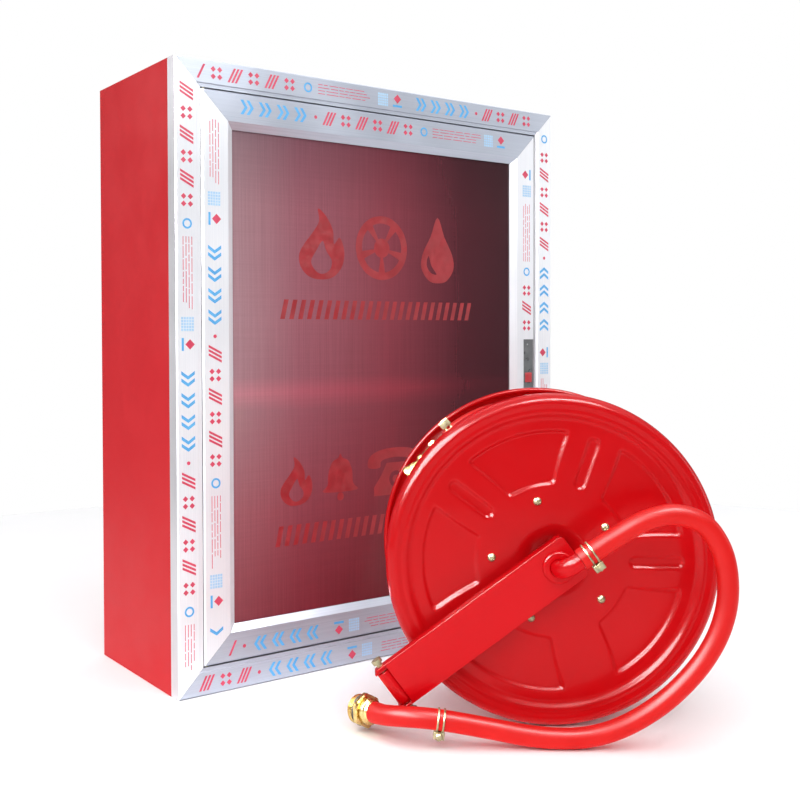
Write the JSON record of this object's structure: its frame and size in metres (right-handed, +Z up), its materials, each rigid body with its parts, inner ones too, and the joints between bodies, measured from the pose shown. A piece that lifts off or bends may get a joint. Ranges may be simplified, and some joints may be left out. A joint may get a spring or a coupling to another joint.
{
  "type": "standpipe cabinet",
  "caption": "Red steel standpipe cabinet with a glazed aluminium door, push-button lock and shelf, and a pressed-steel hose reel on a swing arm with its inlet hose and nozzle",
  "frame": {"origin": "centre of the underside of the cabinet, where it stands", "axes": "+Z up, +Y towards the wall (out of the back panel), -Y out of the glazed door, +X to the right of somebody facing the door"},
  "size_m": [0.65, 0.7419, 0.8],
  "materials": {
    "red_coat": "satin red powder coat on folded sheet steel",
    "aluminium": "drawn silver section under a thin clear protective film",
    "tinted_glass": "dark red-brown tinted pane, 4 mm",
    "black_rubber": "matt black",
    "lock_steel": "dull grey plated",
    "zinc_plate": "yellow zinc plate",
    "red_plastic": "moulded",
    "red_gloss": "gloss red paint on pressed steel",
    "bush_plastic": "natural nylon",
    "red_rubber": "smooth semi-gloss red hose cover",
    "brass": "turned"
  },
  "bodies": {
    "cabinet": {"cabinet_wrapper": "red_coat", "back_panel": "red_coat", "shelf": "red_coat", "shelf_angle_left": "red_coat", "shelf_angle_right": "red_coat", "outer_frame_bottom": "aluminium", "outer_frame_right": "aluminium", "outer_frame_top": "aluminium", "outer_frame_left": "aluminium", "pivot_pin_upper": "zinc_plate", "pivot_pin_lower": "zinc_plate", "strike_plate": "lock_steel", "pipe_grommet": "black_rubber"},
    "door": {"door_rail_bottom": "aluminium", "door_rail_top": "aluminium", "door_stile_left": "aluminium", "door_stile_right": "aluminium", "door_key_bottom_left": "aluminium", "door_key_bottom_right": "aluminium", "door_key_top_left": "aluminium", "door_key_top_right": "aluminium", "glass_pane": "tinted_glass", "glass_gasket": "black_rubber", "pivot_block_upper": "zinc_plate", "pivot_block_lower": "zinc_plate", "lock_faceplate": "lock_steel", "lock_case": "lock_steel"},
    "lock_button": {"push_button": "red_plastic"},
    "lock_bolt": {"latch_bolt": "zinc_plate"},
    "arm": {"swing_arm": "red_gloss", "arm_collar": "red_gloss", "hub_spindle": "zinc_plate", "spindle_nut": "zinc_plate", "inlet_elbow": "red_gloss", "elbow_clamp": "zinc_plate", "elbow_clamp_bolt": "zinc_plate", "hinge_pin": "zinc_plate", "hinge_nut": "zinc_plate", "inlet_hose": "red_rubber", "inlet_tail": "brass", "coupling_nut": "brass", "coupling_gasket": "black_rubber", "inlet_clamp": "zinc_plate", "inlet_clamp_bolt": "zinc_plate"},
    "bracket": {"wall_bracket": "red_gloss"},
    "reel": {"front_disc": "red_gloss", "rear_disc": "red_gloss", "drum": "red_gloss", "hub_bush_front": "bush_plastic", "hub_bush_rear": "bush_plastic", "wound_hose": "red_rubber", "hose_tail": "red_rubber", "nozzle_body": "brass", "nozzle_clamp": "zinc_plate", "reel_screw_1": "zinc_plate", "reel_screw_2": "zinc_plate", "reel_screw_3": "zinc_plate", "reel_screw_4": "zinc_plate", "reel_screw_5": "zinc_plate"},
    "nozzle_tip_body": {"nozzle_tip": "brass"}
  },
  "joints": [
    {"name": "door_hinge", "type": "hinge", "parent": "cabinet", "child": "door", "pos_m": [-0.2835, -0.115, 0.4], "axis": [0, 0, -1], "range_deg": [0, 100]},
    {"name": "lock_press", "type": "slide", "parent": "door", "child": "lock_button", "axis": [0, 1, 0], "range_m": [0, 0.004], "stiffness_N_per_m": 300},
    {"name": "bolt_slide", "type": "slide", "parent": "door", "child": "lock_bolt", "axis": [-1, 0, 0], "range_m": [0, 0.0065]},
    {"name": "reel_carry", "type": "slide", "parent": "cabinet", "child": "arm", "axis": [0, -1, 0], "range_m": [0, 0.9]},
    {"name": "reel_spin", "type": "hinge", "parent": "arm", "child": "reel", "pos_m": [-0.01, -0.4505, 0.1935], "axis": [-0.5878, -0.809, 0], "continuous": true},
    {"name": "arm_hinge", "type": "hinge", "parent": "arm", "child": "bracket", "pos_m": [-0.17468, -0.36398, 0.05729], "axis": [-0.4812, 0.3496, 0.8039], "range_deg": [0, 65]},
    {"name": "nozzle_twist", "type": "hinge", "parent": "reel", "child": "nozzle_tip_body", "pos_m": [-0.09029, -0.35941, 0.333], "axis": [-0.5813, 0.4223, -0.6955], "range_deg": [0, 180]}
  ],
  "couplings": [
    {"joint": "bolt_slide", "follows": "lock_press", "ratio": 1.6},
    {"joint": "reel_carry", "follows": "door_hinge", "m_per_rad": 0.5}
  ]
}
